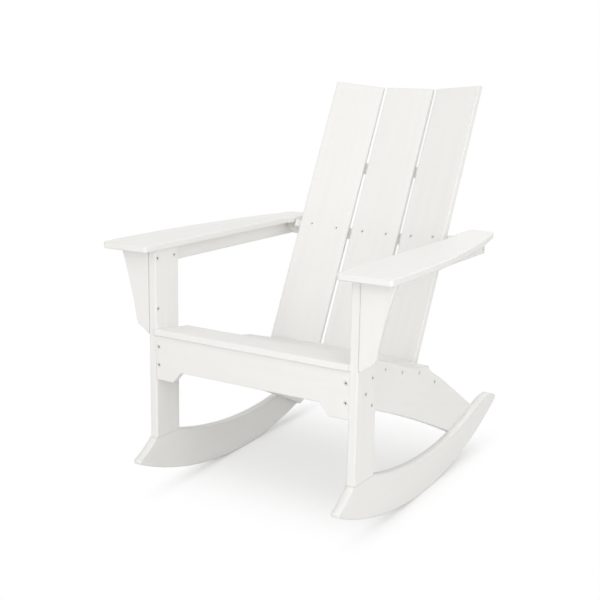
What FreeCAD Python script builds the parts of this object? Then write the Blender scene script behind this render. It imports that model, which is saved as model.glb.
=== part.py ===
import FreeCAD, Part
import math
import os

from FreeCAD import Vector, Rotation, Placement

# Rocking adirondack chair made from flat plastic lumber, stainless screws and bolts.
# Millimetres. +Z is up, the sitter looks along -Y, +X is the sitter's left.
# While drawing, y = 0 is the front plane of the legs. At the end everything
# moves so that the origin lies on the floor under the middle of the chair.

# Stock
BOARD = 16.0
SIDE_BOARD = 19.0
ROUND = 3.0
EASE = 2.0
FIT = 0.3

# Width across the chair, all as distances from the middle plane
LEG_IN = 269.0
LEG_OUT = LEG_IN + BOARD
SIDE_IN = LEG_IN - SIDE_BOARD
RAIL_OUT = LEG_OUT + BOARD

# Legs
LEG_DEPTH = 87.0
ARM_UNDER = 605.0
PAD_Z = 136.0
LEG_EDGE = 18.0

# Rockers. The sole is part of a circle, and the chair comes to rest where its
# centre of mass hangs below the middle of that circle, leaning back a little.
SOLE_R = 970.0
SOLE_Y = 335.0
REST_LEAN = 2.4
NOSE_Y = -66.5
NOSE_FACE = 8.9
PAD_START_Y = -5.0
TAIL_Y = 826.0
# Height of the rocker above its sole: at its waist and going back to the tail,
# each with its distance ahead of the tail.
WAIST_Y = 368.0
WAIST_H = 92.4
HEEL = [(136.0, 73.4), (64.0, 53.2), (29.0, 27.0)]

# Seat, drawn as the top face of each slat: front point y and z, slope, width
SEAT_T = 16.0
SEAT = [
    (-6.0, 414.5, 7.4, 132.0),
    (131.0, 394.6, 16.2, 89.0),
    (224.5, 367.5, 15.1, 89.0),
    (318.4, 342.4, 11.3, 146.0),
]
SEAT_HALF = LEG_IN - FIT
# The wide last slat stops this far ahead of the back at its ends, measured level with its front.
LAST_SLAT_STEP = 69.2
BACK_GAP = 0.5

# Apron
APRON_BOTTOM = 314.0
LUG_BOTTOM = 288.0
LUG_X = 220.0
LUG_RUN = 27.0

# Side boards: the sweep under the seat, and the tail beside the rocker
BELLY_Y = 424.0
BELLY_Z = 156.0
SHOULDER_RUN = 31.1
SHOULDER_RISE = 5.5
SHOULDER_DIP = 2.2
TAIL_INSET = 6.0
TAIL_TOP_AHEAD = 139.0
TAIL_TOP_H = 72.5
TAIL_LOW_AHEAD = 186.0

# Back: the frame of the back is tilted about X, x across, n to the rear, u up
BACK_LEAN = 25.9
BACK_TOP_Y = 782.8
BACK_TOP_Z = 980.0
SLAT_W = 140.0
SLAT_GAP = 10.5
SLAT_YAW = 12.5
SLAT_T = 16.0

# Braces. The upper one lies this far below the slat tops, the arm level one with its front
# edge this far under the arms, the lower one with its middle at this height.
BRACE_H = 20.0
UPPER_BRACE_DOWN = 224.0
UPPER_BRACE_H = 25.0
UPPER_BRACE_DEPTH = 20.0
UPPER_BRACE_EDGE = 12.2
ARM_BRACE_GAP = 1.8
ARM_BRACE_N = 9.0
BRACE_REAR_N = 59.0
LOWER_BRACE_Z = 264.5
LOWER_BRACE_N = 5.0
LOWER_BRACE_REAR_N = 46.0
SLAT_TAIL = 12.0

# Arms. Their rear end and their step keep their place beside the back.
ARM_T = 16.0
ARM_FRONT_Y = -48.0
ARM_BEHIND = 76.3
ARM_STEP_AHEAD = 40.7
ARM_STEP_RUN = 20.0
ARM_IN = 256.0
ARM_IN_REAR = 246.0
ARM_OUT_MAX = 390.0
ARM_OUT_Y = 60.0
ARM_OUT_REAR = 305.0

# Rails under the arms and the wing brackets
RAIL_H = 38.0
RAIL_BEHIND = 47.3
BRACKET_TOP_X = 374.0
# Bends of the bracket's outer edge: inwards from its top corner, down from the arm
BRACKET_BENDS = [(27.0, 88.0), (46.0, 174.0), (52.0, 183.5)]
BRACKET_H = 205.0
BRACKET_SCREW = 20.0
BRACKET_PITCH = 123.0

# Seat cleats
CLEAT_T = 16.0
CLEAT_H = 25.0
CLEAT_START = 8.0
CLEAT_END = 12.0

# Fasteners: every hole is drawn from these same values
SHANK_D = 4.6
HOLE_D = 5.2
HEAD_D = 9.0
HEAD_H = 3.0
SINK_D = 9.8
SINK_H = 3.4
TIP_GAP = 1.0
SHORT_LEN = 30.0
MIDDLE_LEN = 35.0
BRACKET_LEN = 40.0
BRACE_LEN = 42.0
LONG_LEN = 45.0
RAIL_LEN = 48.0
LAG_LEN = 110.0
LAG_SUNK = 22.0
# Along the rail: from the rear of the leg to the first arm screw, from the last to the rail's end
ARM_SCREW_START = 63.0
ARM_SCREW_END = 98.0
# Screws from the side board into the cleat, one for each slat but the first:
# y, depth below the slat's top
SIDE_SCREWS = [(168.0, 21.0), (255.0, 24.4), (349.0, 26.3)]
# Screws into the rocker's tail: distance ahead of the tail, height above the sole
TAIL_SCREWS = [(231.0, 62.5), (181.0, 44.9), (131.0, 38.3)]

# The back and what keeps its place beside it

LEAN = math.radians(BACK_LEAN)


def back_y(z, n=0.0):
    # Where the plane at depth n behind the front of the back is at a height.
    return BACK_TOP_Y - (BACK_TOP_Z - z) * math.tan(LEAN) + n / math.cos(LEAN)


def level_of(z, n):
    # Distance down the back from the slat tops for a height and a depth.
    return (BACK_TOP_Z - z - n * math.sin(LEAN)) / math.cos(LEAN)


ARM_REAR_Y = back_y(ARM_UNDER) + ARM_BEHIND
ARM_STEP_Y = back_y(ARM_UNDER) - ARM_STEP_AHEAD
RAIL_END_Y = back_y(ARM_UNDER) + RAIL_BEHIND
LAST_SLAT_END_Y = back_y(SEAT[3][1]) - LAST_SLAT_STEP

# Each brace as its upper edge down the back and its height
UPPER_BRACE = (UPPER_BRACE_DOWN, UPPER_BRACE_H)
ARM_BRACE = (level_of(ARM_UNDER - ARM_BRACE_GAP, ARM_BRACE_N), BRACE_H)
LOWER_BRACE = (level_of(LOWER_BRACE_Z, LOWER_BRACE_N) - BRACE_H / 2, BRACE_H)
BACK_LEN = LOWER_BRACE[0] + BRACE_H + SLAT_TAIL

parts = {}


def v(x, y, z):
    return Vector(x, y, z)


def mirror_x(shape):
    return shape.mirror(v(0, 0, 0), v(1, 0, 0))


def arc(a, b, c):
    return Part.Arc(a, b, c).toShape()


def seg(a, b):
    return Part.makeLine(a, b)


def outline(place, start, steps):
    # A closed outline in two coordinates. A line, an arc through a point, or a smooth arc
    # that leaves the last piece without a kink. place turns two coordinates into a point.
    edges = []
    here = start
    heading = (1.0, 0.0)
    for kind, *numbers in steps:
        end = tuple(numbers[-2:])
        c = (end[0] - here[0], end[1] - here[1])
        length = math.hypot(*c)
        c = (c[0] / length, c[1] / length)
        if kind == "line":
            edges.append(seg(place(*here), place(*end)))
            heading = c
        else:
            if kind == "arc":
                mid = tuple(numbers[:2])
                centre = circle_centre(here, mid, end)
                heading = tangent_at(centre, here, mid)
            turn = math.atan2(heading[0] * c[1] - heading[1] * c[0], heading[0] * c[0] + heading[1] * c[1])
            bulge = 0.5 * length * math.tan(0.5 * turn)
            mid = (0.5 * (here[0] + end[0]) + c[1] * bulge, 0.5 * (here[1] + end[1]) - c[0] * bulge)
            edges.append(arc(place(*here), place(*mid), place(*end)))
            dot = heading[0] * c[0] + heading[1] * c[1]
            heading = (2 * dot * c[0] - heading[0], 2 * dot * c[1] - heading[1])
        here = end
    return edges


def circle_centre(a, b, c):
    d = 2 * (a[0] * (b[1] - c[1]) + b[0] * (c[1] - a[1]) + c[0] * (a[1] - b[1]))
    qa = a[0] ** 2 + a[1] ** 2
    qb = b[0] ** 2 + b[1] ** 2
    qc = c[0] ** 2 + c[1] ** 2
    x = (qa * (b[1] - c[1]) + qb * (c[1] - a[1]) + qc * (a[1] - b[1])) / d
    y = (qa * (c[0] - b[0]) + qb * (a[0] - c[0]) + qc * (b[0] - a[0])) / d
    return (x, y)


def tangent_at(centre, p, towards):
    # Direction of travel at p on the circle, on the way to a nearby point of the circle.
    r = (p[0] - centre[0], p[1] - centre[1])
    t = (-r[1], r[0])
    ahead = (towards[0] - p[0], towards[1] - p[1])
    sign = 1.0 if t[0] * ahead[0] + t[1] * ahead[1] > 0 else -1.0
    size = math.hypot(*t)
    return (sign * t[0] / size, sign * t[1] / size)


def board(edges, push, first=("round", ROUND), last=("round", ROUND), skip=None, corners=()):
    # A profile pushed to its thickness. The corners named by a point get their own radius.
    # Then the rim of the first face and the rim of the last are rounded or eased.
    solid = Part.Face(Part.Wire(edges)).extrude(push)
    direction = Vector(push).normalize()
    for point, size in corners:
        near = []
        for edge in solid.Edges:
            a = edge.Vertexes[0].Point
            b = edge.Vertexes[-1].Point
            if abs((b - a).dot(direction)) > 1:
                gap = (a - point) - direction * (a - point).dot(direction)
                near.append((gap.Length, edge))
        near.sort(key=lambda pair: pair[0])
        solid = solid.makeFillet(size, [near[0][1]])
    start = edges[0].Vertexes[0].Point.dot(direction)
    for finish, level in ((first, start), (last, start + Vector(push).Length)):
        if finish is None:
            continue
        rim = []
        for edge in solid.Edges:
            flat = all(abs(w.Point.dot(direction) - level) < 1e-4 for w in edge.Vertexes)
            if flat and (skip is None or not skip(edge)):
                rim.append(edge)
        if finish[0] == "round":
            solid = solid.makeFillet(finish[1], rim)
        else:
            solid = solid.makeChamfer(finish[1], rim)
    return solid


def polyline(points):
    n = len(points)
    return [seg(points[i], points[(i + 1) % n]) for i in range(n)]


def stick(length, width, thick):
    # A straight board: x across the chair, y along the width, z up through the thickness.
    points = [v(-length / 2, 0, 0), v(length / 2, 0, 0), v(length / 2, width, 0), v(-length / 2, width, 0)]
    return board(polyline(points), v(0, 0, thick))


# Screws and bolts. They repeat often, so their heads and shanks are drawn with few sides.

def along(point, direction):
    turn = Rotation(v(0, 0, 1), Vector(direction))
    return Placement(Vector(point), turn)


def prism(diameter, sides, z0, z1):
    r = diameter / 2
    step = 360.0 / sides
    ring = [v(r * math.cos(math.radians(step * k)), r * math.sin(math.radians(step * k)), z0) for k in range(sides)]
    return Part.Face(Part.Wire(polyline(ring))).extrude(v(0, 0, z1 - z0))


def screw(point, direction, length, sides):
    # The point lies on the board's face, the direction runs into the board.
    head = prism(HEAD_D, sides, SINK_H - HEAD_H, SINK_H)
    shank = prism(SHANK_D, 6, SINK_H, length)
    body = head.fuse(shank)
    body.Placement = along(point, direction)
    return body


def bore(point, direction, length, sides, reach):
    # The wide part starts outside the board, the narrow one ends just past the tip.
    sink = prism(SINK_D, sides, -reach, SINK_H)
    hole = prism(HOLE_D, 6, SINK_H, length + TIP_GAP)
    tool = sink.fuse(hole)
    tool.Placement = along(point, direction)
    return tool


fasteners = {}
bores = []


def fasten(group, point, direction, length, targets, sides=8, reach=20.0):
    direction = Vector(direction).normalize()
    fasteners.setdefault(group, []).append(screw(point, direction, length, sides))
    bores.append((bore(point, direction, length, sides, reach), targets))


# Sole circle shared by the rocker and the end of the side board

def sole_z(y, inset=0.0):
    return SOLE_R - math.sqrt((SOLE_R - inset) ** 2 - (y - SOLE_Y) ** 2)


def sole_point(x, y, inset=0.0):
    return v(x, y, sole_z(y, inset))


# Rocker

def make_rocker():
    x = LEG_IN
    nose = (NOSE_Y + 1, sole_z(NOSE_Y + 1))
    tail = (TAIL_Y - 1, sole_z(TAIL_Y - 1))
    brow = (NOSE_Y, nose[1] + NOSE_FACE)
    start = (PAD_START_Y, PAD_Z)
    chest = (0.5 * (brow[0] + start[0]) + 3.7, 0.5 * (brow[1] + start[1]) - 0.8)
    heel = [(TAIL_Y - ahead, sole_z(TAIL_Y - ahead) + height) for ahead, height in HEEL]
    steps = [
        ("line", LEG_DEPTH, PAD_Z),
        ("arc", WAIST_Y, sole_z(WAIST_Y) + WAIST_H, *heel[0]),
        ("smooth", *heel[1]),
        ("smooth", *heel[2]),
        ("line", *tail),
        ("arc", SOLE_Y, 0.0, *nose),
        ("line", *brow),
        ("arc", *chest, *start),
    ]
    edges = outline(lambda y, z: v(x, y, z), start, steps)
    corners = [(v(x, *tail), 8.0), (v(x, *nose), 5.0), (v(x, *brow), 5.0)]

    def pad(edge):
        return abs(edge.CenterOfMass.z - PAD_Z) < 0.01
    return board(edges, v(BOARD, 0, 0), ("ease", EASE), ("ease", EASE), pad, corners)


# Leg, square on top under the arm and square on the rocker's pad

def make_leg():
    z0 = PAD_Z
    z1 = ARM_UNDER
    points = [v(LEG_IN, 0, z0), v(LEG_OUT, 0, z0), v(LEG_OUT, LEG_DEPTH, z0), v(LEG_IN, LEG_DEPTH, z0)]
    solid = Part.Face(Part.Wire(polyline(points))).extrude(v(0, 0, z1 - z0))
    upright = [e for e in solid.Edges if abs(e.Vertexes[0].Z - e.Vertexes[-1].Z) > 1]
    return solid.makeFillet(ROUND, upright)


# Seat slats

def seat_line(index, offset):
    # Two points of the slat's top line, moved down square to the slat.
    y, z, slope, width = SEAT[index]
    a = math.radians(slope)
    down = v(0, -math.sin(a), -math.cos(a)) * offset
    start = v(0, y, z) + down
    end = v(0, y + width * math.cos(a), z - width * math.sin(a)) + down
    return start, end


def cross(p1, p2, p3, p4):
    # Meeting point of two lines in the side plane.
    d1 = p2 - p1
    d2 = p4 - p3
    k = (d1.y * d2.z - d1.z * d2.y)
    t = ((p3.y - p1.y) * d2.z - (p3.z - p1.z) * d2.y) / k
    return p1 + d1 * t


def seat_corners(offset):
    # Bends of a line that follows all slats at one distance below their tops.
    lines = [seat_line(i, offset) for i in range(len(SEAT))]
    return [cross(lines[i][0], lines[i][1], lines[i + 1][0], lines[i + 1][1]) for i in range(len(SEAT) - 1)]


def height_on(index, offset, y):
    a, b = seat_line(index, offset)
    t = (y - a.y) / (b.y - a.y)
    return a.z + (b.z - a.z) * t


def back_frame():
    return Placement(v(0, BACK_TOP_Y, BACK_TOP_Z), Rotation(v(1, 0, 0), -BACK_LEAN))


def back_front_line(offset):
    # Front faces of the three slats as one bent line in the frame of the back.
    a = math.radians(SLAT_YAW)
    x0 = SLAT_W / 2 + SLAT_GAP
    shift = v(-math.sin(a) * -1, math.cos(a), 0) * offset
    inner = v(x0, 0, 0) + shift
    run = v(math.cos(a), -math.sin(a), 0)
    t = (offset - inner.y) / run.y
    bend = inner + run * t
    return bend, run


def make_seat_slat(index):
    y, z, slope, width = SEAT[index]
    solid = stick(2 * SEAT_HALF, width, SEAT_T)
    solid.translate(v(0, 0, -SEAT_T))
    solid.Placement = Placement(v(0, y, z), Rotation(v(1, 0, 0), -slope)).multiply(solid.Placement)
    return solid


def make_last_slat():
    # Wide slat with a faceted rear edge that meets the fronts of the back slats.
    y, z, slope, width = SEAT[3]
    place = Placement(v(0, y, z), Rotation(v(1, 0, 0), -slope))
    bend, run = back_front_line(0)
    a = math.radians(slope)
    mid = (back_y(z) - y) / (math.cos(a) + math.sin(a) * math.tan(LEAN))
    end = (LAST_SLAT_END_Y - y) / math.cos(a)
    points = [v(-SEAT_HALF, 0, 0), v(SEAT_HALF, 0, 0), v(SEAT_HALF, end, 0), v(bend.x, mid, 0),
              v(-bend.x, mid, 0), v(-SEAT_HALF, end, 0)]
    solid = board(polyline(points), v(0, 0, -SEAT_T))
    solid.Placement = place
    front, run = back_front_line(-BACK_GAP)
    far = front + run * LEG_OUT
    ring = [v(-front.x, front.y, 0), v(front.x, front.y, 0), v(far.x, far.y, 0), v(far.x, LEG_OUT, 0),
            v(-far.x, LEG_OUT, 0), v(-far.x, far.y, 0)]
    envelope = Part.Face(Part.Wire(polyline(ring))).extrude(v(0, 0, -2 * BACK_LEN))
    envelope.Placement = back_frame()
    return solid.cut(envelope)


# Side board: seat profile above, long tail down to the rocker

def make_side_board():
    x = SIDE_IN
    bends = seat_corners(SEAT_T)
    y0 = BOARD + FIT
    front_top = v(x, y0, height_on(0, SEAT_T, y0))
    front_low = v(x, y0, LUG_BOTTOM)
    slat_end_y = LAST_SLAT_END_Y - EASE
    slat_end = v(x, slat_end_y, height_on(3, SEAT_T, slat_end_y))
    inset = TAIL_INSET
    brace_y = back_y(LOWER_BRACE_Z, LOWER_BRACE_N)
    shoulder = v(x, brace_y + SHOULDER_RUN, LOWER_BRACE_Z + SHOULDER_RISE)
    dip = (slat_end + shoulder) * 0.5 - v(0, 0, SHOULDER_DIP)
    line_y = TAIL_Y - TAIL_TOP_AHEAD
    line_end = v(x, line_y, sole_z(line_y) + TAIL_TOP_H)
    # The straight upper edge runs on until it meets the curve of the sole.
    slope = (line_end.z - shoulder.z) / (line_end.y - shoulder.y)
    tail_y = line_y
    for step in range(80):
        gap = shoulder.z + slope * (tail_y - shoulder.y) - sole_z(tail_y, inset)
        tail_y = tail_y + gap / (0.6 - slope)
    tail = (tail_y, sole_z(tail_y, inset))
    low_y = TAIL_Y - TAIL_LOW_AHEAD
    low = (low_y, sole_z(low_y, inset))
    mid_y = 0.5 * (tail_y + low_y)
    steps = [
        ("line", front_top.y, front_top.z),
        ("line", bends[0].y, bends[0].z),
        ("line", bends[1].y, bends[1].z),
        ("line", bends[2].y, bends[2].z),
        ("line", slat_end.y, slat_end.z),
        ("arc", dip.y, dip.z, shoulder.y, shoulder.z),
        ("line", *tail),
        ("arc", mid_y, sole_z(mid_y, inset), *low),
        ("arc", BELLY_Y, BELLY_Z, LEG_DEPTH + 37, LUG_BOTTOM - 12.5),
        ("smooth", LEG_DEPTH - 36, LUG_BOTTOM),
        ("line", front_low.y, front_low.z),
    ]
    edges = outline(lambda a, b: v(x, a, b), (front_low.y, front_low.z), steps)

    def bearing(edge):
        m = edge.CenterOfMass
        on_seat = m.y < slat_end_y and m.z > slat_end.z - 0.1
        at_front = abs(m.y - y0) < 0.5
        return on_seat or at_front
    corners = [(v(x, *tail), 4.0), (shoulder, 15.0)]
    return board(edges, v(SIDE_BOARD, 0, 0), ("ease", EASE), ("ease", EASE), bearing, corners)


def make_cleat():
    # Strip under the slats on the inner face of the side board.
    x = SIDE_IN
    low = seat_corners(SEAT_T + CLEAT_H)
    high = seat_corners(SEAT_T)
    y0 = BOARD + CLEAT_START
    y1 = LAST_SLAT_END_Y - CLEAT_END
    a = seat_line(3, SEAT_T)
    b = seat_line(3, SEAT_T + CLEAT_H)
    up = [v(x, y0, height_on(0, SEAT_T, y0))] + [v(x, p.y, p.z) for p in high]
    up.append(v(x, y1, height_on(3, SEAT_T, y1)))
    down = [v(x, y0, height_on(0, SEAT_T + CLEAT_H, y0))] + [v(x, p.y, p.z) for p in low]
    down.append(v(x, y1 - 5, height_on(3, SEAT_T + CLEAT_H, y1 - 5)))
    points = up + down[::-1]
    return board(polyline(points), v(-CLEAT_T, 0, 0), None, None)


# Apron with two end lugs, its top bevelled to the front slat

def make_apron():
    w = LEG_IN - FIT
    z = APRON_BOTTOM
    top = SEAT[0][1] + SEAT_T
    points = [v(-w, 0, top), v(-w, 0, LUG_BOTTOM), v(-LUG_X, 0, LUG_BOTTOM), v(-LUG_X + LUG_RUN, 0, z),
              v(LUG_X - LUG_RUN, 0, z), v(LUG_X, 0, LUG_BOTTOM), v(w, 0, LUG_BOTTOM), v(w, 0, top)]
    solid = Part.Face(Part.Wire(polyline(points))).extrude(v(0, BOARD, 0))
    lower = []
    for edge in solid.Edges:
        flat = abs(edge.Vertexes[0].Y - edge.Vertexes[-1].Y) < 1e-4
        front = edge.CenterOfMass.y < 0.1
        if flat and front and edge.CenterOfMass.z < z + 1 and abs(edge.CenterOfMass.x) < w - 1:
            lower.append(edge)
    solid = solid.makeFillet(ROUND, lower)
    over = Part.makeBox(2 * LEG_OUT, 10 * BOARD, 4 * SEAT_T, v(-LEG_OUT, -BOARD, -SEAT_T))
    y0, z0, slope, width = SEAT[0]
    over.Placement = Placement(v(0, y0, z0), Rotation(v(1, 0, 0), -slope)).multiply(over.Placement)
    return solid.cut(over)


# Back slats and the three braces behind them

def slat_place(side):
    a = SLAT_YAW
    if side == 0:
        return back_frame()
    local = Placement(v(side * (SLAT_W / 2 + SLAT_GAP), 0, 0), Rotation(v(0, 0, 1), -side * a))
    return back_frame().multiply(local)


def make_back_slat(side):
    x0 = -SLAT_W / 2 if side == 0 else (0 if side > 0 else -SLAT_W)
    points = [v(x0, 0, 0), v(x0 + SLAT_W, 0, 0), v(x0 + SLAT_W, 0, -BACK_LEN), v(x0, 0, -BACK_LEN)]
    solid = board(polyline(points), v(0, SLAT_T, 0))
    solid.Placement = slat_place(side)
    return solid


def brace(level, half):
    # Only the rear edges are eased, the front ones meet the slats.
    top, height = level
    points = [v(x, n, -top - height) for x, n in both_sides(half)]
    rear = max(n for x, n in half)

    def in_front(edge):
        return abs(edge.CenterOfMass.y - rear) > 0.1

    solid = board(polyline(points), v(0, 0, height), ("ease", EASE), ("ease", EASE), in_front)
    solid.Placement = back_frame()
    return solid


def both_sides(half):
    # A half outline from the front middle round to the rear middle, and its mirror.
    left = [(-x, n) for x, n in half[::-1]]
    return half + left


def facet_n(x, offset):
    bend, run = back_front_line(offset)
    return bend.y + (x - bend.x) * run.y / run.x


def make_arm_brace():
    bend, run = back_front_line(SLAT_T)
    x1 = ARM_IN_REAR - 5
    w = LEG_OUT - FIT
    front_n = ARM_BRACE_N
    half = [(bend.x, SLAT_T), (x1, facet_n(x1, SLAT_T)), (x1, front_n), (w, front_n), (w, BRACE_REAR_N)]
    return brace(ARM_BRACE, half)


def make_lower_brace():
    bend, run = back_front_line(SLAT_T)
    w = SIDE_IN - FIT
    half = [(bend.x, SLAT_T), (w, facet_n(w, SLAT_T)), (w, LOWER_BRACE_REAR_N)]
    return brace(LOWER_BRACE, half)


def make_upper_brace():
    front, run = back_front_line(SLAT_T)
    rear, run = back_front_line(SLAT_T + UPPER_BRACE_DEPTH)
    a = math.radians(SLAT_YAW)
    x1 = SLAT_W / 2 + SLAT_GAP + SLAT_W * math.cos(a) - UPPER_BRACE_EDGE
    x2 = x1 + UPPER_BRACE_DEPTH * math.sin(a)
    half = [(front.x, SLAT_T), (x1, facet_n(x1, SLAT_T)),
            (x2, facet_n(x2, SLAT_T + UPPER_BRACE_DEPTH)), (rear.x, rear.y)]
    return brace(UPPER_BRACE, half)


# Arms, rails and brackets, drawn on the sitter's left

def make_arm():
    z = ARM_UNDER
    depth = ARM_OUT_MAX - ARM_OUT_REAR
    r = ((ARM_REAR_Y - ARM_OUT_Y) ** 2 / depth + depth) / 2

    def out(y):
        return ARM_OUT_MAX - r + math.sqrt(r * r - (y - ARM_OUT_Y) ** 2)
    half_way = 0.5 * (ARM_FRONT_Y + ARM_REAR_Y)
    steps = [
        ("line", out(ARM_FRONT_Y), ARM_FRONT_Y),
        ("arc", out(half_way), half_way, out(ARM_REAR_Y), ARM_REAR_Y),
        ("line", ARM_IN_REAR, ARM_REAR_Y),
        ("line", ARM_IN_REAR, ARM_STEP_Y + ARM_STEP_RUN),
        ("line", ARM_IN, ARM_STEP_Y),
        ("line", ARM_IN, ARM_FRONT_Y),
    ]
    edges = outline(lambda a, b: v(a, b, z), (ARM_IN, ARM_FRONT_Y), steps)
    corners = [(v(ARM_IN, ARM_FRONT_Y, z), 7.0), (v(out(ARM_FRONT_Y), ARM_FRONT_Y, z), 7.0),
               (v(out(ARM_REAR_Y), ARM_REAR_Y, z), 14.0)]
    return board(edges, v(0, 0, ARM_T), ("ease", EASE), ("ease", EASE), None, corners)


def make_rail():
    x = LEG_OUT
    y0 = BOARD + FIT
    z0 = ARM_UNDER - RAIL_H
    points = [v(x, y0, z0), v(x, RAIL_END_Y, z0), v(x, RAIL_END_Y, ARM_UNDER), v(x, y0, ARM_UNDER)]
    solid = Part.Face(Part.Wire(polyline(points))).extrude(v(BOARD, 0, 0))
    rim = []
    for edge in solid.Edges:
        m = edge.CenterOfMass
        long_low = abs(m.z - z0) < 0.1 and edge.Length > 2 * BOARD
        end = abs(m.y - RAIL_END_Y) < 0.1 and edge.Length > 30
        if (long_low or end) and m.x > x + 1:
            rim.append(edge)
    return solid.makeFillet(ROUND, rim)


def make_bracket():
    x = LEG_OUT + FIT
    bends = [(BRACKET_TOP_X - inwards, ARM_UNDER - down) for inwards, down in BRACKET_BENDS]
    steps = [
        ("line", BRACKET_TOP_X, ARM_UNDER),
        ("arc", *bends[0], *bends[1]),
        ("line", *bends[2]),
        ("line", x, ARM_UNDER - BRACKET_H),
        ("line", x, ARM_UNDER),
    ]
    edges = outline(lambda a, b: v(a, 0, b), (x, ARM_UNDER), steps)

    def joint(edge):
        m = edge.CenterOfMass
        return m.x < x + 1 or m.z > ARM_UNDER - 1
    return board(edges, v(0, BOARD, 0), ("ease", EASE), ("ease", EASE), joint)


# Build the boards

for name, side in (("left", 1), ("right", -1)):
    for key, maker in (("leg", make_leg), ("rocker", make_rocker), ("side_board", make_side_board),
                       ("seat_cleat", make_cleat), ("arm", make_arm), ("arm_rail", make_rail),
                       ("wing_bracket", make_bracket)):
        solid = maker()
        parts[key + "_" + name] = solid if side > 0 else mirror_x(solid)
parts["apron"] = make_apron()
for i in range(3):
    parts["seat_slat_%d" % (i + 1)] = make_seat_slat(i)
parts["seat_slat_4"] = make_last_slat()
parts["back_slat_left"] = make_back_slat(1)
parts["back_slat_middle"] = make_back_slat(0)
parts["back_slat_right"] = make_back_slat(-1)
parts["upper_back_brace"] = make_upper_brace()
parts["arm_level_brace"] = make_arm_brace()
parts["lower_back_brace"] = make_lower_brace()

# Fasteners

SIDES = (("left", 1), ("right", -1))


def in_back(x, n, level):
    return back_frame().multVec(v(x, n, -level))


def turn_back(vector):
    return back_frame().Rotation.multVec(vector)


for name, s in SIDES:
    leg = "leg_" + name
    rocker = "rocker_" + name
    side = "side_board_" + name
    cleat = "seat_cleat_" + name
    arm = "arm_" + name
    rail = "arm_rail_" + name
    bracket = "wing_bracket_" + name
    leg_y = LEG_DEPTH - LEG_EDGE
    low = LUG_BOTTOM + 19.0
    high = height_on(0, SEAT_T, leg_y) - 18.6
    for y, z in ((leg_y - 30, low + 0.524 * (high - low)), (leg_y, high), (leg_y, low)):
        fasten("leg_bolts_" + name, v(s * LEG_OUT, y, z), v(-s, 0, 0), SHORT_LEN, (leg, side))
    for z in (high, LUG_BOTTOM + 37.0):
        fasten("apron_screws", v(s * (LEG_IN - SIDE_BOARD / 2), 0, z), v(0, 1, 0), LONG_LEN, ("apron", side))
    top = ARM_UNDER - BRACKET_SCREW
    for z in (top, top - BRACKET_PITCH):
        fasten("bracket_screws_" + name, v(s * LEG_IN, BOARD / 2, z), v(s, 0, 0), BRACKET_LEN, (leg, bracket))
    fasten("bracket_screws_" + name, v(s * LEG_IN, LEG_DEPTH - BOARD, top), v(s, 0, 0), SHORT_LEN - 2, (leg, rail))
    for index, (y, depth) in enumerate(SIDE_SCREWS):
        p = v(s * LEG_IN, y, height_on(index + 1, depth, y))
        fasten("side_screws_" + name, p, v(-s, 0, 0), SHORT_LEN, (side, cleat))
    p = in_back(0, LOWER_BRACE_N, LOWER_BRACE[0] + LOWER_BRACE[1] / 2)
    fasten("side_screws_" + name, v(s * LEG_IN, p.y, p.z), v(-s, 0, 0), LONG_LEN, (side, "lower_back_brace"))
    for ahead, height in TAIL_SCREWS:
        y = TAIL_Y - ahead
        fasten("tail_screws_" + name, v(s * SIDE_IN, y, sole_z(y) + height), v(s, 0, 0), SHORT_LEN, (side, rocker))
    p = in_back(0, BRACE_REAR_N - 15, ARM_BRACE[0] + ARM_BRACE[1] / 2)
    fasten("rail_end_screws", v(s * RAIL_OUT, p.y, p.z), v(-s, 0, 0), RAIL_LEN, (rail, "arm_level_brace"))
    first, last = LEG_DEPTH + ARM_SCREW_START, RAIL_END_Y - ARM_SCREW_END
    for y in (first, 0.5 * (first + last), last):
        p = v(s * (LEG_OUT + BOARD / 2), y, ARM_UNDER - RAIL_H)
        fasten("arm_screws_" + name, p, v(0, 0, 1), RAIL_LEN, (rail, arm), 6)
    for y in (LAG_SUNK, LEG_DEPTH - LAG_SUNK):
        p = v(s * (LEG_IN + BOARD / 2), y, sole_z(y) + LAG_SUNK)
        fasten("rocker_lags_" + name, p, v(0, 0, 1), LAG_LEN, (rocker, leg), 6, LAG_SUNK + 10)
    for index, t in ((0, 75), (1, 62), (2, 62), (3, 62)):
        y0, z0, slope, width = SEAT[index]
        a = math.radians(slope)
        depth = SEAT_T + CLEAT_H
        p = v(s * (SIDE_IN - CLEAT_T / 2), y0 + t * math.cos(a), z0 - t * math.sin(a))
        p = p + v(0, -math.sin(a), -math.cos(a)) * depth
        up = v(0, math.sin(a), math.cos(a))
        fasten("seat_screws_" + name, p, up, MIDDLE_LEN, (cleat, "seat_slat_%d" % (index + 1)), 6)

for side, name in ((0, "middle"), (1, "left"), (-1, "right")):
    slat = "back_slat_" + name
    place = slat_place(side)
    centre = 0 if side == 0 else side * SLAT_W / 2
    rear = place.Rotation.multVec(v(0, 1, 0))
    for offset in (34 - SLAT_W / 2, SLAT_W / 2 - 34):
        x = centre + offset
        p = place.multVec(v(x, 0, -ARM_BRACE[0] - ARM_BRACE[1] / 2))
        fasten("back_slat_screws", p, rear, LONG_LEN, (slat, "arm_level_brace"))
        p = place.multVec(v(x, SLAT_T + UPPER_BRACE_DEPTH, -UPPER_BRACE[0] - UPPER_BRACE[1] / 2))
        fasten("upper_brace_screws", p, rear * -1, SHORT_LEN + 1, (slat, "upper_back_brace"), 6)
    p = place.multVec(v(centre, 0, -LOWER_BRACE[0] - LOWER_BRACE[1] / 2))
    fasten("lower_brace_screws", p, rear, BRACE_LEN, (slat, "lower_back_brace"), 6)

for tool, targets in bores:
    for target in targets:
        parts[target] = parts[target].cut(tool)

for group, solids in fasteners.items():
    parts[group] = Part.makeCompound(solids)

# The chair leans back into its attitude of rest, then the origin goes to the floor
# under the middle of its length.

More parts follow.
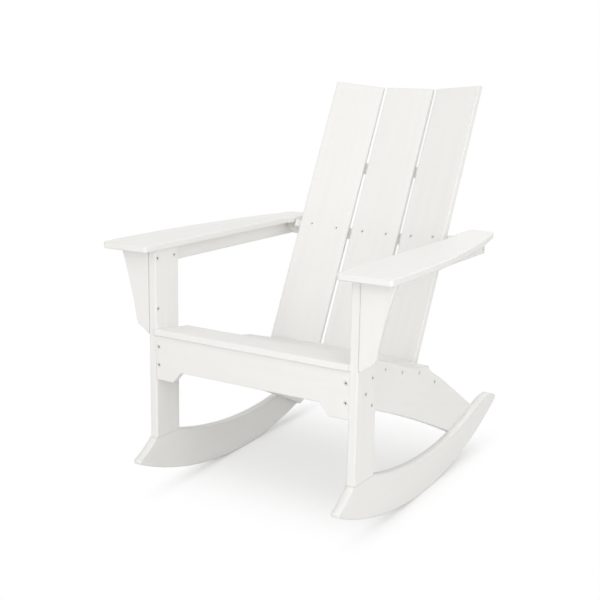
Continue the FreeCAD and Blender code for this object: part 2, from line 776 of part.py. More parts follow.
rest = Placement(v(0, 0, 0), Rotation(v(1, 0, 0), -REST_LEAN), v(0, SOLE_Y, SOLE_R))
for key in parts:
    parts[key] = parts[key].copy()
    parts[key].Placement = rest.multiply(parts[key].Placement)
front = min(parts[key].optimalBoundingBox(False, False).YMin for key in ("rocker_left", "arm_left"))
rear = max(parts[key].optimalBoundingBox(False, False).YMax for key in ("rocker_left", "back_slat_middle"))
shift = v(0, -(front + rear) / 2, 0)
os.makedirs("parts", exist_ok=True)
for key, shape in parts.items():
    shape = shape.copy()
    shape.translate(shift)
    shape.exportStep("parts/" + key + ".step")
    box = shape.BoundBox
    print(key, len(shape.Solids), shape.isValid(), round(shape.Volume),
          [round(b, 1) for b in (box.XMin, box.YMin, box.ZMin, box.XMax, box.YMax, box.ZMax)])
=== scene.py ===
import bpy
import bmesh
import math
from mathutils import Matrix, Vector


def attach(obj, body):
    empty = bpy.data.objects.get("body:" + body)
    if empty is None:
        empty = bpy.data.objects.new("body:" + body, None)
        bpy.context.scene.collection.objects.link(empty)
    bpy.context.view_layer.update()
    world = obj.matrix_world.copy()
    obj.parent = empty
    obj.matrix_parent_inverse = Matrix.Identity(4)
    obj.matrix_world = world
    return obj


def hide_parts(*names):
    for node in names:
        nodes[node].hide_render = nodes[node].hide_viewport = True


# A white rocking adirondack chair of plastic lumber, on a white studio floor.
# Metres, +Z up, the sitter looks along -Y.

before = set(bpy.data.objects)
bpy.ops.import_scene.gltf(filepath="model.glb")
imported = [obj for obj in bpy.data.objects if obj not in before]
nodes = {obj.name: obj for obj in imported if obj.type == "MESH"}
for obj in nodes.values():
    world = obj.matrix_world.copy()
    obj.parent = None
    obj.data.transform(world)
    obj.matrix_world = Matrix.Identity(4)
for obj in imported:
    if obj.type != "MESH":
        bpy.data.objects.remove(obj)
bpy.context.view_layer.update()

BODY = "root"
# The whole chair leans back at rest, and the back slats lean further.
LEAN = math.radians(2.4)
BACK_LEAN = math.radians(25.9 + 2.4)
SIDE_BOARD_SLOPE = math.radians(20.0)

# Colours, linear
WHITE_LUMBER = (0.85, 0.842, 0.822, 1.0)
LUMBER_SHADE = (0.832, 0.824, 0.803, 1.0)
STEEL = (0.90, 0.90, 0.89, 1.0)
STEEL_DARK = (0.72, 0.72, 0.71, 1.0)
# Painted shade in the screw heads' sockets: near-black steel, and a paler one for the sockets in
# the side boards and rail ends.
PAINTED_SOCKET_SHADE = (0.05, 0.05, 0.05, 1.0)
PAINTED_SOCKET_SHADE_EDGE = (0.16, 0.16, 0.16, 1.0)
PALE_PAINTED_SOCKET_SHADE = (0.16, 0.16, 0.155, 1.0)
PALE_PAINTED_SOCKET_SHADE_EDGE = (0.34, 0.34, 0.33, 1.0)
FLOOR_WHITE = (0.96, 0.96, 0.96, 1.0)
FLOOR_BOUNCE = (0.80, 0.80, 0.79, 1.0)

# Lumber and steel surfaces. The grain's noise is drawn out into streaks along the board.
ALONG_GRAIN = 0.06
SPECKLE_SHARE = 0.35
LUMBER_STREAKS = {"From Min": 0.25, "From Max": 0.6}
LUMBER_ROUGHNESS = {"To Min": 0.40, "To Max": 0.56}
LUMBER_EDGE = 0.0035
LUMBER_BUMP = {"Strength": 0.12, "Distance": 0.0004}
STEEL_STREAKS = {"Streak Scale": 400.0, "Speckle Scale": 2500.0}
STEEL_ROUGHNESS = {"To Min": 0.28, "To Max": 0.42}


def wire(tree, source, target):
    tree.links.new(source, target)


def add_node(tree, kind, values=None):
    # A node of one kind, with the values of its named inputs.
    node = tree.nodes.new(kind)
    for name, value in (values or {}).items():
        node.inputs[name].default_value = value
    return node


def link_to_scene(piece):
    bpy.context.scene.collection.objects.link(piece)
    return piece


# Finishes

def new_material(name):
    material = bpy.data.materials.new(name)
    material.use_nodes = True
    tree = material.node_tree
    tree.nodes.clear()
    output = add_node(tree, "ShaderNodeOutputMaterial")
    shader = add_node(tree, "ShaderNodeBsdfPrincipled")
    wire(tree, shader.outputs["BSDF"], output.inputs["Surface"])
    return material, tree, shader


def extruded_grain_group():
    # Faint lengthwise streaks and fine speckle of extruded plastic lumber.
    group = bpy.data.node_groups.new("extruded_grain", "ShaderNodeTree")
    face = group.interface
    face.new_socket(name="Vector", in_out="INPUT", socket_type="NodeSocketVector")
    for name, value in (("Streak Scale", 60.0), ("Speckle Scale", 900.0)):
        socket = face.new_socket(name=name, in_out="INPUT", socket_type="NodeSocketFloat")
        socket.default_value = value
    face.new_socket(name="Tone", in_out="OUTPUT", socket_type="NodeSocketFloat")
    face.new_socket(name="Height", in_out="OUTPUT", socket_type="NodeSocketFloat")
    inside = add_node(group, "NodeGroupInput")
    outside = add_node(group, "NodeGroupOutput")
    streak = add_node(group, "ShaderNodeTexNoise", {"Detail": 4.0})
    speckle = add_node(group, "ShaderNodeTexNoise", {"Detail": 2.0})
    wire(group, inside.outputs["Vector"], streak.inputs["Vector"])
    wire(group, inside.outputs["Streak Scale"], streak.inputs["Scale"])
    wire(group, inside.outputs["Vector"], speckle.inputs["Vector"])
    wire(group, inside.outputs["Speckle Scale"], speckle.inputs["Scale"])
    blend = add_node(group, "ShaderNodeMath")
    blend.operation = "MULTIPLY_ADD"
    blend.inputs[1].default_value = SPECKLE_SHARE
    wire(group, speckle.outputs["Fac"], blend.inputs[0])
    wire(group, streak.outputs["Fac"], blend.inputs[2])
    wire(group, streak.outputs["Fac"], outside.inputs["Tone"])
    wire(group, blend.outputs[0], outside.inputs["Height"])
    return group


GRAIN = extruded_grain_group()


def grain_texture(tree, vector, values=None):
    texture = tree.nodes.new("ShaderNodeGroup")
    texture.node_tree = GRAIN
    for name, value in (values or {}).items():
        texture.inputs[name].default_value = value
    wire(tree, vector, texture.inputs["Vector"])
    return texture


def two_tones(tree, shader, dark, light, factor):
    # The surface's colour goes from dark to light with the grain.
    tone = add_node(tree, "ShaderNodeMix")
    tone.data_type = "RGBA"
    tone.inputs["A"].default_value = dark
    tone.inputs["B"].default_value = light
    wire(tree, factor, tone.inputs["Factor"])
    wire(tree, tone.outputs["Result"], shader.inputs["Base Color"])


def uneven_gloss(tree, shader, texture, roughness):
    gloss = add_node(tree, "ShaderNodeMapRange", roughness)
    wire(tree, texture.outputs["Height"], gloss.inputs["Value"])
    wire(tree, gloss.outputs["Result"], shader.inputs["Roughness"])


def lumber(name, grain, turn=(0.0, 0.0, 0.0)):
    # White plastic lumber whose streaks run along one axis of the board.
    material, tree, shader = new_material(name)
    place = add_node(tree, "ShaderNodeTexCoord")
    mapping = add_node(tree, "ShaderNodeMapping")
    mapping.vector_type = "TEXTURE"
    mapping.inputs["Rotation"].default_value = turn
    stretch = add_node(tree, "ShaderNodeVectorMath")
    stretch.operation = "MULTIPLY"
    stretch.inputs[1].default_value = tuple(ALONG_GRAIN if axis == grain else 1.0 for axis in "XYZ")
    wire(tree, place.outputs["Object"], mapping.inputs["Vector"])
    wire(tree, mapping.outputs["Vector"], stretch.inputs[0])
    texture = grain_texture(tree, stretch.outputs["Vector"])
    streaks = add_node(tree, "ShaderNodeMapRange", LUMBER_STREAKS)
    wire(tree, texture.outputs["Tone"], streaks.inputs["Value"])
    two_tones(tree, shader, LUMBER_SHADE, WHITE_LUMBER, streaks.outputs["Result"])
    uneven_gloss(tree, shader, texture, LUMBER_ROUGHNESS)
    rounded = add_node(tree, "ShaderNodeBevel", {"Radius": LUMBER_EDGE})
    rounded.samples = 6
    bump = add_node(tree, "ShaderNodeBump", LUMBER_BUMP)
    wire(tree, texture.outputs["Height"], bump.inputs["Height"])
    wire(tree, rounded.outputs["Normal"], bump.inputs["Normal"])
    wire(tree, bump.outputs["Normal"], shader.inputs["Normal"])
    shader.inputs["IOR"].default_value = 1.5
    shader.inputs["Specular IOR Level"].default_value = 0.4
    return material


def stainless(name, dark, light):
    # Brushed stainless steel. With near-black tones it also gives the painted shade in the screw
    # heads' sockets.
    material, tree, shader = new_material(name)
    place = add_node(tree, "ShaderNodeTexCoord")
    texture = grain_texture(tree, place.outputs["Object"], STEEL_STREAKS)
    two_tones(tree, shader, dark, light, texture.outputs["Tone"])
    uneven_gloss(tree, shader, texture, STEEL_ROUGHNESS)
    shader.inputs["Metallic"].default_value = 1.0
    return material


ACROSS = lumber("white_lumber_across", "X")
UPRIGHT = lumber("white_lumber_upright", "Z", (-LEAN, 0.0, 0.0))
LENGTHWISE = lumber("white_lumber_lengthwise", "Y", (-LEAN, 0.0, 0.0))
BACK = lumber("white_lumber_back", "Z", (-BACK_LEAN, 0.0, 0.0))
SIDE = lumber("white_lumber_side", "Y", (-SIDE_BOARD_SLOPE, 0.0, 0.0))
SCREW_STEEL = stainless("stainless_screws", STEEL_DARK, STEEL)
# Painted shade for the sockets: near-black steel, paler where the sockets are in the side boards
# and rail ends.
SCREW_PAINTED_SOCKET_SHADE = stainless("painted_socket_shade", PAINTED_SOCKET_SHADE, PAINTED_SOCKET_SHADE_EDGE)
PALE_SCREW_PAINTED_SOCKET_SHADE = stainless("pale_painted_socket_shade", PALE_PAINTED_SOCKET_SHADE, PALE_PAINTED_SOCKET_SHADE_EDGE)

# The grain of each kind of board, found by the start of its name. So arm_level_brace and
# arm_rail come before arm.
FINISH = [
    ("arm_level_brace", ACROSS), ("upper_back_brace", ACROSS), ("lower_back_brace", ACROSS),
    ("apron", ACROSS), ("seat_slat", ACROSS), ("back_slat", BACK),
    ("leg", UPRIGHT), ("wing_bracket", UPRIGHT), ("side_board", SIDE), ("seat_cleat", SIDE),
    ("rocker", LENGTHWISE), ("arm_rail", LENGTHWISE), ("arm", LENGTHWISE),
]


def finish_of(name):
    if "screws" in name or "bolts" in name or "lags" in name:
        return SCREW_STEEL
    return [finish for board, finish in FINISH if name.startswith(board)][0]


for name, piece in nodes.items():
    piece.data.materials.clear()
    piece.data.materials.append(finish_of(name))


# Boards that the photograph shows a little different from their solids. Each keeps its node's
# own outline and bores. Its points are moved in the square frame, where the chair isn't leaned
# back yet, on the sitter's left.

REST_AXIS = Vector((0.0, 0.335, 0.970))
REST_SHIFT = Vector((0.0, -0.346658, 0.0))
TO_CHAIR = Matrix.Translation(REST_SHIFT + REST_AXIS) @ Matrix.Rotation(-LEAN, 4, "X") \
    @ Matrix.Translation(-REST_AXIS)
TO_SQUARE = TO_CHAIR.inverted()
SAME_POINT = 1e-6
ON_CUT = 1e-7


def side_of(name):
    return -1.0 if name.endswith("_right") else 1.0


def shown_board(node_name, move, cuts=()):
    # The node's mesh, merged, cut across at some places along the chair, and its points moved.
    mesh = bpy.data.meshes.new("shown_" + node_name)
    work = bmesh.new()
    work.from_mesh(nodes[node_name].data)
    bmesh.ops.remove_doubles(work, verts=work.verts, dist=SAME_POINT)
    mirror = Matrix.Diagonal((side_of(node_name), 1.0, 1.0, 1.0))
    bmesh.ops.transform(work, matrix=mirror @ TO_SQUARE, verts=work.verts)
    for y in cuts:
        every = work.verts[:] + work.edges[:] + work.faces[:]
        bmesh.ops.bisect_plane(work, geom=every, dist=ON_CUT, plane_co=(0.0, y, 0.0),
                               plane_no=(0.0, 1.0, 0.0))
    for vert in work.verts:
        move(vert.co)
    bmesh.ops.transform(work, matrix=TO_CHAIR @ mirror, verts=work.verts)
    bmesh.ops.recalc_face_normals(work, faces=work.faces)
    work.to_mesh(mesh)
    work.free()
    mesh.materials.append(finish_of(node_name))
    piece = link_to_scene(bpy.data.objects.new("shown_" + node_name, mesh))
    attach(piece, BODY)
    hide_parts(node_name)
    return piece


# Legs and rockers are thicker, by this much on the inner and on the outer face. What lies in a
# board's core, such as the bore for a lag, keeps its shape.
THICKER_IN = 0.0025
THICKER_OUT = 0.0035
LEG_MIDDLE = 0.277
LEG_OUTSIDE = 0.285
LEG_CORE = 0.0041
ROCKER_CORE = 0.0055


def thicker(core):
    def move(point):
        if point.x > LEG_MIDDLE + core:
            point.x += THICKER_OUT
        elif point.x < LEG_MIDDLE - core:
            point.x -= THICKER_IN
        else:
            point.x += 0.5 * (THICKER_OUT - THICKER_IN)
    return move


# The bracket starts on the thicker leg, and its lower end comes down.
ON_LEG = 0.001
BRACKET_END = 0.45
BRACKET_LOWER = 0.003


def bracket_against_leg(point):
    if point.x < LEG_OUTSIDE + ON_LEG:
        point.x += THICKER_OUT
    if point.z < BRACKET_END:
        point.z -= BRACKET_LOWER


# The arm's curved outer edge stays further out towards its rear corner. Its screw holes, which
# are further in, stay where they are.
ARM_WIDER = 0.007
ARM_WIDER_FROM = 0.40
ARM_WIDER_RUN = 0.29
ARM_HOLES_END = 0.296
ARM_EDGE_BLEND = 0.006


def wider_arm_rear(point):
    if point.x > ARM_HOLES_END and point.y > ARM_WIDER_FROM:
        share = min(1.0, (point.x - ARM_HOLES_END) / ARM_EDGE_BLEND)
        share = share * (point.y - ARM_WIDER_FROM) / ARM_WIDER_RUN
        point.x += share * ARM_WIDER


# The apron's lugs reach further down, and their sloping inner ends stand further out.
LUG_LEVEL = 0.2925
LUG_LOWER = 0.002
LUG_END = (0.2, 0.224)
LUG_NARROWER = 0.003


def lower_lugs(point):
    if point.z < LUG_LEVEL:
        point.z -= LUG_LOWER
        if LUG_END[0] < abs(point.x) < LUG_END[1]:
            point.x -= math.copysign(LUG_NARROWER, point.x)


# The three rear slats lie between the side boards, level with their tops, in a seat that is a
# little hollower. Each slat by its front point and slope in the solids, where its rear is, and
# how far it comes down at its front and at its rear.
SLAT_THICK = 0.016
SLAT_SHORTER = 0.012
SLAT_ENDS = 0.26
REAR_SLATS = [(0.131, 0.3946, 16.2), (0.2245, 0.3675, 15.1), (0.3184, 0.3424, 11.3)]
SLAT_REARS = [0.2165, 0.3104, 0.4616]
SLAT_DROPS = [(0.0010, 0.0050), (0.0060, 0.0135), (0.0150, 0.0065)]
SLAT_JOINT = 0.004

# The part of the side board's upper edge that comes up beside them. Its rear corner is rounded.
RAISED_FROM = 0.1175
RAISED_TO = 0.4042
CUT_APART = 0.0001
AT_CUT = 1e-5
EDGE_DEPTH = 0.00005
REAR_CORNER_FROM = 0.4
REAR_CORNER_DEPTH = 0.0045
OVER_SLATS = 0.0003


def seat_line(y, down):
    # Height of the line over the rear slats, at one depth below their tops.
    turns = [(y0, z0, math.radians(slope)) for y0, z0, slope in REAR_SLATS]
    return max(z0 - (y - y0) * math.tan(a) - down / math.cos(a) for y0, z0, a in turns)


def drop_of(slat, y):
    front, rear = SLAT_DROPS[slat]
    start, end = REAR_SLATS[slat][0], SLAT_REARS[slat]
    return front + (rear - front) * (y - start) / (end - start)


def hollow(slat):
    # The slat stays flat, comes down and ends inside the side boards.
    def move(point):
        point.z -= drop_of(slat, point.y)
        if abs(point.x) > SLAT_ENDS:
            point.x -= math.copysign(SLAT_SHORTER, point.x)
    return move


def up_to_slat_tops(point):
    rest = seat_line(point.y, SLAT_THICK)
    depth = REAR_CORNER_DEPTH if point.y > REAR_CORNER_FROM else EDGE_DEPTH
    if RAISED_FROM - AT_CUT < point.y < RAISED_TO + AT_CUT and point.z > rest - depth:
        slat = sum(point.y > start - SLAT_JOINT for start, height, slope in REAR_SLATS[1:])
        point.z += seat_line(point.y, 0.0) + OVER_SLATS - rest - drop_of(slat, point.y)


shown_board("apron", lower_lugs)
for slat in range(3):
    shown_board("seat_slat_%d" % (slat + 2), hollow(slat))
for side in ("left", "right"):
    cuts = (RAISED_FROM - CUT_APART, RAISED_FROM, RAISED_TO, RAISED_TO + CUT_APART)
    shown_board("side_board_" + side, up_to_slat_tops, cuts)
    shown_board("leg_" + side, thicker(LEG_CORE))
    shown_board("rocker_" + side, thicker(ROCKER_CORE))
    shown_board("wing_bracket_" + side, bracket_against_leg)
    # Flat faces, whose edges the material's bevel rounds.
    shown_board("arm_" + side, wider_arm_rear).data.shade_flat()


# Fasteners: each solid screw gives its seat and direction, and Geometry Nodes set a screw with a
# six-sided socket on it. Head, shank and socket are given by their radii.

SCREW_SIDES = 24
HEAD = 0.0048
HEAD_HEIGHT = 0.0029
SHANK = 0.0023
SOCKET = 0.0021
SUNK = 0.0003
SOCKET_TURN = 6.283
FIRST_SEED = 11
# How a solid's long axis and its two ends are found.
AXIS_STEPS = 30
END_BAND = 2e-4


def solids_of(piece):
    # The separate solids of a node, as lists of points, always in the order of the node's points.
    mesh = bmesh.new()
    mesh.from_mesh(piece.data)
    bmesh.ops.remove_doubles(mesh, verts=mesh.verts, dist=SAME_POINT)
    left = set(mesh.verts)
    solids = []
    for first in mesh.verts:
        if first not in left:
            continue
        left.remove(first)
        todo = [first]
        group = []
        while todo:
            vert = todo.pop()
            group.append(vert.co.copy())
            for edge in vert.link_edges:
                other = edge.other_vert(vert)
                if other in left:
                    left.remove(other)
                    todo.append(other)
        solids.append(group)
    mesh.free()
    return solids


def seat_of(points):
    # The middle of the head's outer face and the direction into the board.
    pairs = ((i, j) for i in range(len(points)) for j in range(i + 1, len(points)))
    far = max(((points[i] - points[j]).length, i, j) for i, j in pairs)
    middle = sum(points, Vector()) / len(points)
    axis = (points[far[2]] - points[far[1]]).normalized()
    for step in range(AXIS_STEPS):
        # The long axis by repeated weighting of the points along it.
        weighted = ((p - middle) * (p - middle).dot(axis) for p in points)
        axis = sum(weighted, Vector()).normalized()
    spans = [(p - middle).dot(axis) for p in points]

    def end_at(level):
        near = [p for p, span in zip(points, spans) if abs(span - level) < END_BAND]
        centre = sum(near, Vector()) / len(near)
        return max((p - centre).length for p in near), centre
    low_width, low = end_at(min(spans))
    high_width, high = end_at(max(spans))
    if low_width > high_width:
        return low, high - low
    return high, low - high


def screw_pattern():
    # One screw: a low domed head with its socket, and a short shank. Its axis is Z, into the board.
    def ring(radius, z, six=0.0):
        # A circle at one height, or with six at 1 a hexagon.
        points = []
        for k in range(SCREW_SIDES):
            a = 2 * math.pi * k / SCREW_SIDES
            edge = math.cos(math.pi / 6) / math.cos((a % (math.pi / 3)) - math.pi / 6)
            r = radius * (1 - six + six * edge)
            points.append((r * math.cos(a), r * math.sin(a), z))
        return points
    rings = [
        ring(SOCKET * 0.3, 0.0024, 1.0), ring(SOCKET, 0.0021, 1.0), ring(SOCKET, 0.0003, 1.0),
        ring(SOCKET * 1.12, 0.0, 1.0), ring(HEAD * 0.72, 0.0001), ring(HEAD * 0.90, 0.0004),
        ring(HEAD * 0.98, 0.0009), ring(HEAD, 0.0015), ring(HEAD, HEAD_HEIGHT),
        ring(SHANK, HEAD_HEIGHT + 0.00001), ring(SHANK, 0.018), ring(SHANK * 0.6, 0.020),
    ]
    verts = [point for points in rings for point in points]
    faces = []
    for start in range(0, len(verts) - SCREW_SIDES, SCREW_SIDES):
        for k in range(SCREW_SIDES):
            a, b = start + k, start + (k + 1) % SCREW_SIDES
            faces.append((a, b, b + SCREW_SIDES, a + SCREW_SIDES))
    faces.append(tuple(range(SCREW_SIDES))[::-1])
    faces.append(tuple(range(len(verts) - SCREW_SIDES, len(verts))))
    mesh = bpy.data.meshes.new("screw_pattern")
    mesh.from_pydata(verts, [], faces)
    outwards = bmesh.new()
    outwards.from_mesh(mesh)
    bmesh.ops.recalc_face_normals(outwards, faces=outwards.faces)
    outwards.to_mesh(mesh)
    outwards.free()
    # The socket's floor and walls are marked, to get a near-black material of their own: painted
    # shade in the socket.
    recess = mesh.attributes.new("recess", "BOOLEAN", "FACE")
    for polygon in mesh.polygons:
        within = all(mesh.vertices[v].co.xy.length < SOCKET * 1.05 for v in polygon.vertices)
        recess.data[polygon.index].value = within and polygon.center.z < 0.01
    return bpy.data.objects.new("screw_pattern", mesh)


def screw_setter():
    # A screw on every seat, turned along the seat's axis, its socket at a chance angle.
    tree = bpy.data.node_groups.new("set_screws", "GeometryNodeTree")
    face = tree.interface
    for name, kind, value in (("Geometry", "Geometry", None), ("Screw", "Object", None),
                              ("Size", "Float", 1.0), ("Recess Depth", "Float", 0.0),
                              ("Seed", "Int", 7), ("Finish", "Material", None),
                              ("Recess Finish", "Material", None)):
        socket = face.new_socket(name=name, in_out="INPUT", socket_type="NodeSocket" + kind)
        if value is not None:
            socket.default_value = value
    face.new_socket(name="Geometry", in_out="OUTPUT", socket_type="NodeSocketGeometry")
    inside = add_node(tree, "NodeGroupInput")
    outside = add_node(tree, "NodeGroupOutput")
    axis = add_node(tree, "GeometryNodeInputNamedAttribute", {"Name": "seat_axis"})
    axis.data_type = "FLOAT_VECTOR"
    align = add_node(tree, "FunctionNodeAlignRotationToVector")
    align.axis = "Z"
    wire(tree, axis.outputs["Attribute"], align.inputs["Vector"])
    sink = add_node(tree, "ShaderNodeVectorMath")
    sink.operation = "SCALE"
    wire(tree, axis.outputs["Attribute"], sink.inputs[0])
    wire(tree, inside.outputs["Recess Depth"], sink.inputs["Scale"])
    seats = add_node(tree, "GeometryNodeSetPosition")
    wire(tree, inside.outputs["Geometry"], seats.inputs["Geometry"])
    wire(tree, sink.outputs["Vector"], seats.inputs["Offset"])
    chance = add_node(tree, "FunctionNodeRandomValue")
    chance.data_type = "FLOAT_VECTOR"
    chance.inputs[0].default_value = (0.0, 0.0, 0.0)
    chance.inputs[1].default_value = (0.0, 0.0, SOCKET_TURN)
    wire(tree, inside.outputs["Seed"], chance.inputs["Seed"])
    screw = add_node(tree, "GeometryNodeObjectInfo")
    wire(tree, inside.outputs["Screw"], screw.inputs["Object"])
    scatter = add_node(tree, "GeometryNodeInstanceOnPoints")
    wire(tree, seats.outputs["Geometry"], scatter.inputs["Points"])
    wire(tree, screw.outputs["Geometry"], scatter.inputs["Instance"])
    wire(tree, align.outputs["Rotation"], scatter.inputs["Rotation"])
    wire(tree, inside.outputs["Size"], scatter.inputs["Scale"])
    turn = add_node(tree, "GeometryNodeRotateInstances")
    wire(tree, scatter.outputs["Instances"], turn.inputs["Instances"])
    wire(tree, chance.outputs[0], turn.inputs["Rotation"])
    real = add_node(tree, "GeometryNodeRealizeInstances")
    wire(tree, turn.outputs["Instances"], real.inputs["Geometry"])
    paint = add_node(tree, "GeometryNodeSetMaterial")
    wire(tree, real.outputs["Geometry"], paint.inputs["Geometry"])
    wire(tree, inside.outputs["Finish"], paint.inputs["Material"])
    # The marked socket faces get the near-black material: painted shade in the socket.
    recess = add_node(tree, "GeometryNodeInputNamedAttribute", {"Name": "recess"})
    recess.data_type = "BOOLEAN"
    darken = add_node(tree, "GeometryNodeSetMaterial")
    wire(tree, paint.outputs["Geometry"], darken.inputs["Geometry"])
    wire(tree, recess.outputs["Attribute"], darken.inputs["Selection"])
    wire(tree, inside.outputs["Recess Finish"], darken.inputs["Material"])
    wire(tree, darken.outputs["Geometry"], outside.inputs["Geometry"])
    return tree


def socket_id(tree, name):
    for item in tree.interface.items_tree:
        if item.item_type == "SOCKET" and item.in_out == "INPUT" and item.name == name:
            return item.identifier
    raise KeyError(name)


SETTER = screw_setter()
PATTERN = screw_pattern()


def set_screws(node_name, seed):
    seats = [seat_of(points) for points in solids_of(nodes[node_name])]
    if node_name.startswith(("leg_bolts", "bracket_screws")):
        # These sit in the thicker legs: the bolts in the outer face, the screws in the inner one.
        out = THICKER_OUT if node_name.startswith("leg_bolts") else -THICKER_IN
        outwards = Vector((side_of(node_name) * out, 0.0, 0.0))
        seats = [(place + outwards, axis) for place, axis in seats]
    mesh = bpy.data.meshes.new(node_name + "_seats")
    mesh.from_pydata([place for place, axis in seats], [], [])
    axes = mesh.attributes.new("seat_axis", "FLOAT_VECTOR", "POINT")
    for k, (place, axis) in enumerate(seats):
        axes.data[k].vector = axis.normalized()
    seat_points = link_to_scene(bpy.data.objects.new(node_name + "_seats", mesh))
    modifier = seat_points.modifiers.new("screws", "NODES")
    modifier.node_group = SETTER
    # The painted shade in the sockets of the side boards and the rail ends is paler than in those
    # in front.
    pale = node_name.startswith(("side_screws", "tail_screws", "rail_end_screws"))
    for name, value in (("Screw", PATTERN), ("Seed", seed), ("Recess Depth", -SUNK),
                        ("Finish", SCREW_STEEL),
                        ("Recess Finish", PALE_SCREW_PAINTED_SOCKET_SHADE if pale else SCREW_PAINTED_SOCKET_SHADE)):
        modifier[socket_id(SETTER, name)] = value
    bpy.context.view_layer.update()
    graph = bpy.context.evaluated_depsgraph_get()
    baked = bpy.data.meshes.new_from_object(seat_points.evaluated_get(graph))
    bpy.data.objects.remove(seat_points)
    baked.name = "steel_" + node_name
    baked.shade_smooth()
    piece = link_to_scene(bpy.data.objects.new("steel_" + node_name, baked))
    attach(piece, BODY)
    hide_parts(node_name)


fastener_nodes = sorted(name for name in nodes if finish_of(name) is SCREW_STEEL)
for number, name in enumerate(fastener_nodes):
    set_screws(name, FIRST_SEED + number)


# Studio

FLOOR_REACH = 14.0
FLOOR_BELOW = 0.0004
# The window in which the floor shows the chair's soft shadow, each ramp from its outer to its
# inner edge: under the seat along and across the chair, and a strip along each rocker.
SEAT_WINDOW = {"front": (-0.42, -0.02), "rear": (0.50, 0.05), "across": (0.36, 0.25)}
SEAT_SHADOW = 0.70
ROCKER_WINDOW = {"front": (-0.46, -0.08), "rear": (0.50, 0.20), "across": (0.06, 0.0)}
ROCKER_SHADOW = 0.8


def studio_floor():
    # White floor. The camera sees its shading only in the window of the chair's soft shadow.
    # Outside that it stays plain white.
    mesh = bpy.data.meshes.new("studio_floor")
    r = FLOOR_REACH
    mesh.from_pydata([(-r, -r, 0), (r, -r, 0), (r, r, 0), (-r, r, 0)], [], [(0, 1, 2, 3)])
    floor = link_to_scene(bpy.data.objects.new("studio_floor", mesh))
    floor.location.z = -FLOOR_BELOW
    material, tree, shader = new_material("white_floor")
    rays = add_node(tree, "ShaderNodeLightPath")
    two_tones(tree, shader, FLOOR_BOUNCE, FLOOR_WHITE, rays.outputs["Is Camera Ray"])
    shader.inputs["Roughness"].default_value = 0.9
    shader.inputs["Specular IOR Level"].default_value = 0.1
    place = add_node(tree, "ShaderNodeTexCoord")
    parts = add_node(tree, "ShaderNodeSeparateXYZ")
    wire(tree, place.outputs["Object"], parts.inputs["Vector"])

    def math_node(operation, *values):
        node = add_node(tree, "ShaderNodeMath")
        node.operation = operation
        for slot, value in enumerate(values):
            if isinstance(value, float):
                node.inputs[slot].default_value = value
            else:
                wire(tree, value, node.inputs[slot])
        return node.outputs[0]

    def ramp(value, edges, top=1.0):
        # Smooth rise from nothing at the outer edge to the top at the inner one.
        outer, inner = edges
        node = add_node(tree, "ShaderNodeMapRange", {"From Min": outer, "From Max": inner,
                                                     "To Min": 0.0, "To Max": top})
        node.interpolation_type = "SMOOTHSTEP"
        wire(tree, value, node.inputs["Value"])
        return node.outputs["Result"]

    def window(edges, across, along, depth):
        length = math_node("MULTIPLY", ramp(along, edges["front"]), ramp(along, edges["rear"]))
        return math_node("MULTIPLY", length, ramp(across, edges["across"], depth))
    across = math_node("ABSOLUTE", parts.outputs["X"])
    to_rocker = math_node("ABSOLUTE", math_node("SUBTRACT", across, LEG_MIDDLE))
    under_seat = window(SEAT_WINDOW, across, parts.outputs["Y"], SEAT_SHADOW)
    along_rocker = window(ROCKER_WINDOW, to_rocker, parts.outputs["Y"], ROCKER_SHADOW)
    shadow = math_node("MAXIMUM", under_seat, along_rocker)
    plain = math_node("MULTIPLY", math_node("SUBTRACT", 1.0, shadow),
                      rays.outputs["Is Camera Ray"])
    white = add_node(tree, "ShaderNodeEmission", {"Strength": 1.0})
    blend = add_node(tree, "ShaderNodeMixShader")
    wire(tree, plain, blend.inputs["Fac"])
    wire(tree, shader.outputs["BSDF"], blend.inputs[1])
    wire(tree, white.outputs["Emission"], blend.inputs[2])
    output = [node for node in tree.nodes if node.type == "OUTPUT_MATERIAL"][0]
    wire(tree, blend.outputs["Shader"], output.inputs["Surface"])
    mesh.materials.append(material)


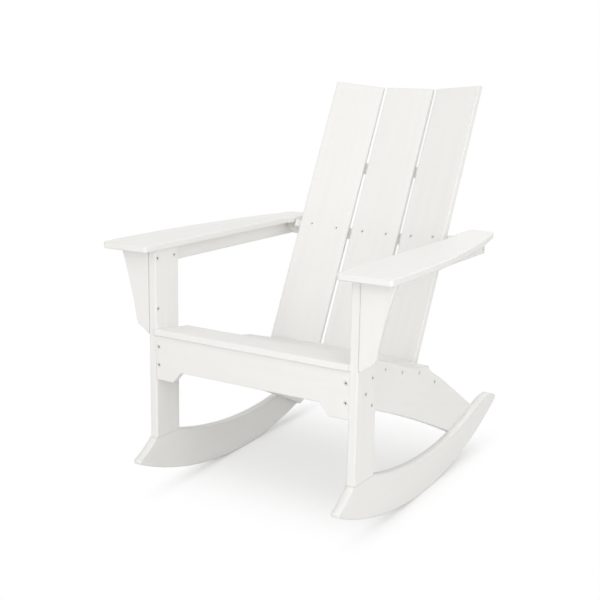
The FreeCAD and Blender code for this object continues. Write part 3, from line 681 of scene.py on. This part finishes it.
def studio_world(level):
    # Even light at one level. The camera and reflections see plain white instead.
    world = bpy.data.worlds.new("white_studio")
    bpy.context.scene.world = world
    world.use_nodes = True
    tree = world.node_tree
    tree.nodes.clear()
    output = add_node(tree, "ShaderNodeOutputWorld")
    light = add_node(tree, "ShaderNodeBackground", {"Strength": level})
    white = {"Color": (1.0, 1.0, 1.0, 1.0), "Strength": 1.0}
    seen = add_node(tree, "ShaderNodeBackground", white)
    rays = add_node(tree, "ShaderNodeLightPath")
    either = add_node(tree, "ShaderNodeMath")
    either.operation = "MAXIMUM"
    blend = add_node(tree, "ShaderNodeMixShader")
    wire(tree, rays.outputs["Is Camera Ray"], either.inputs[0])
    wire(tree, rays.outputs["Is Glossy Ray"], either.inputs[1])
    wire(tree, either.outputs[0], blend.inputs["Fac"])
    wire(tree, light.outputs["Background"], blend.inputs[1])
    wire(tree, seen.outputs["Background"], blend.inputs[2])
    wire(tree, blend.outputs["Shader"], output.inputs["Surface"])


# Light from all sides, and square softboxes, each with its place and power, aimed at the seat.
SKY_LEVEL = 0.78
SOFTBOX_SIZE = 3.0
SEAT_MIDDLE = Vector((0.0, 0.0, 0.4))
SOFTBOXES = [
    ("side_softbox", (3.4, -2.2, 1.6), 46.0),
    ("front_softbox", (0.6, -4.0, 1.6), 27.0),
    ("high_front_softbox", (0.0, -3.0, 3.2), 18.0),
    ("overhead_softbox", (0.0, 0.0, 3.8), 12.0),
    ("rear_softbox", (0.5, 3.5, 2.8), 45.0),
]


def softbox(name, place, power):
    data = bpy.data.lights.new(name, "AREA")
    data.shape = "SQUARE"
    data.size = SOFTBOX_SIZE
    data.energy = power
    lamp = link_to_scene(bpy.data.objects.new(name, data))
    lamp.location = place
    lamp.rotation_euler = (SEAT_MIDDLE - Vector(place)).to_track_quat("-Z", "Y").to_euler()


def photograph_camera():
    # Where the photograph was taken from, fitted to the chair's edges.
    data = bpy.data.cameras.new("photograph_camera")
    data.lens = 64.11
    data.sensor_width = 36.0
    camera = link_to_scene(bpy.data.objects.new("photograph_camera", data))
    azimuth, elevation, roll = (math.radians(a) for a in (32.149, 14.686, -0.359))
    turn = Matrix.Rotation(azimuth, 4, "Z") @ Matrix.Rotation(math.pi / 2 - elevation, 4, "X")
    turn = turn @ Matrix.Rotation(roll, 4, "Z")
    camera.matrix_world = Matrix.Translation((1.3414, -2.27741, 1.14523)) @ turn
    bpy.context.scene.camera = camera


studio_floor()
studio_world(SKY_LEVEL)
for name, place, power in SOFTBOXES:
    softbox(name, place, power)
photograph_camera()
bpy.context.scene.view_settings.view_transform = "Standard"
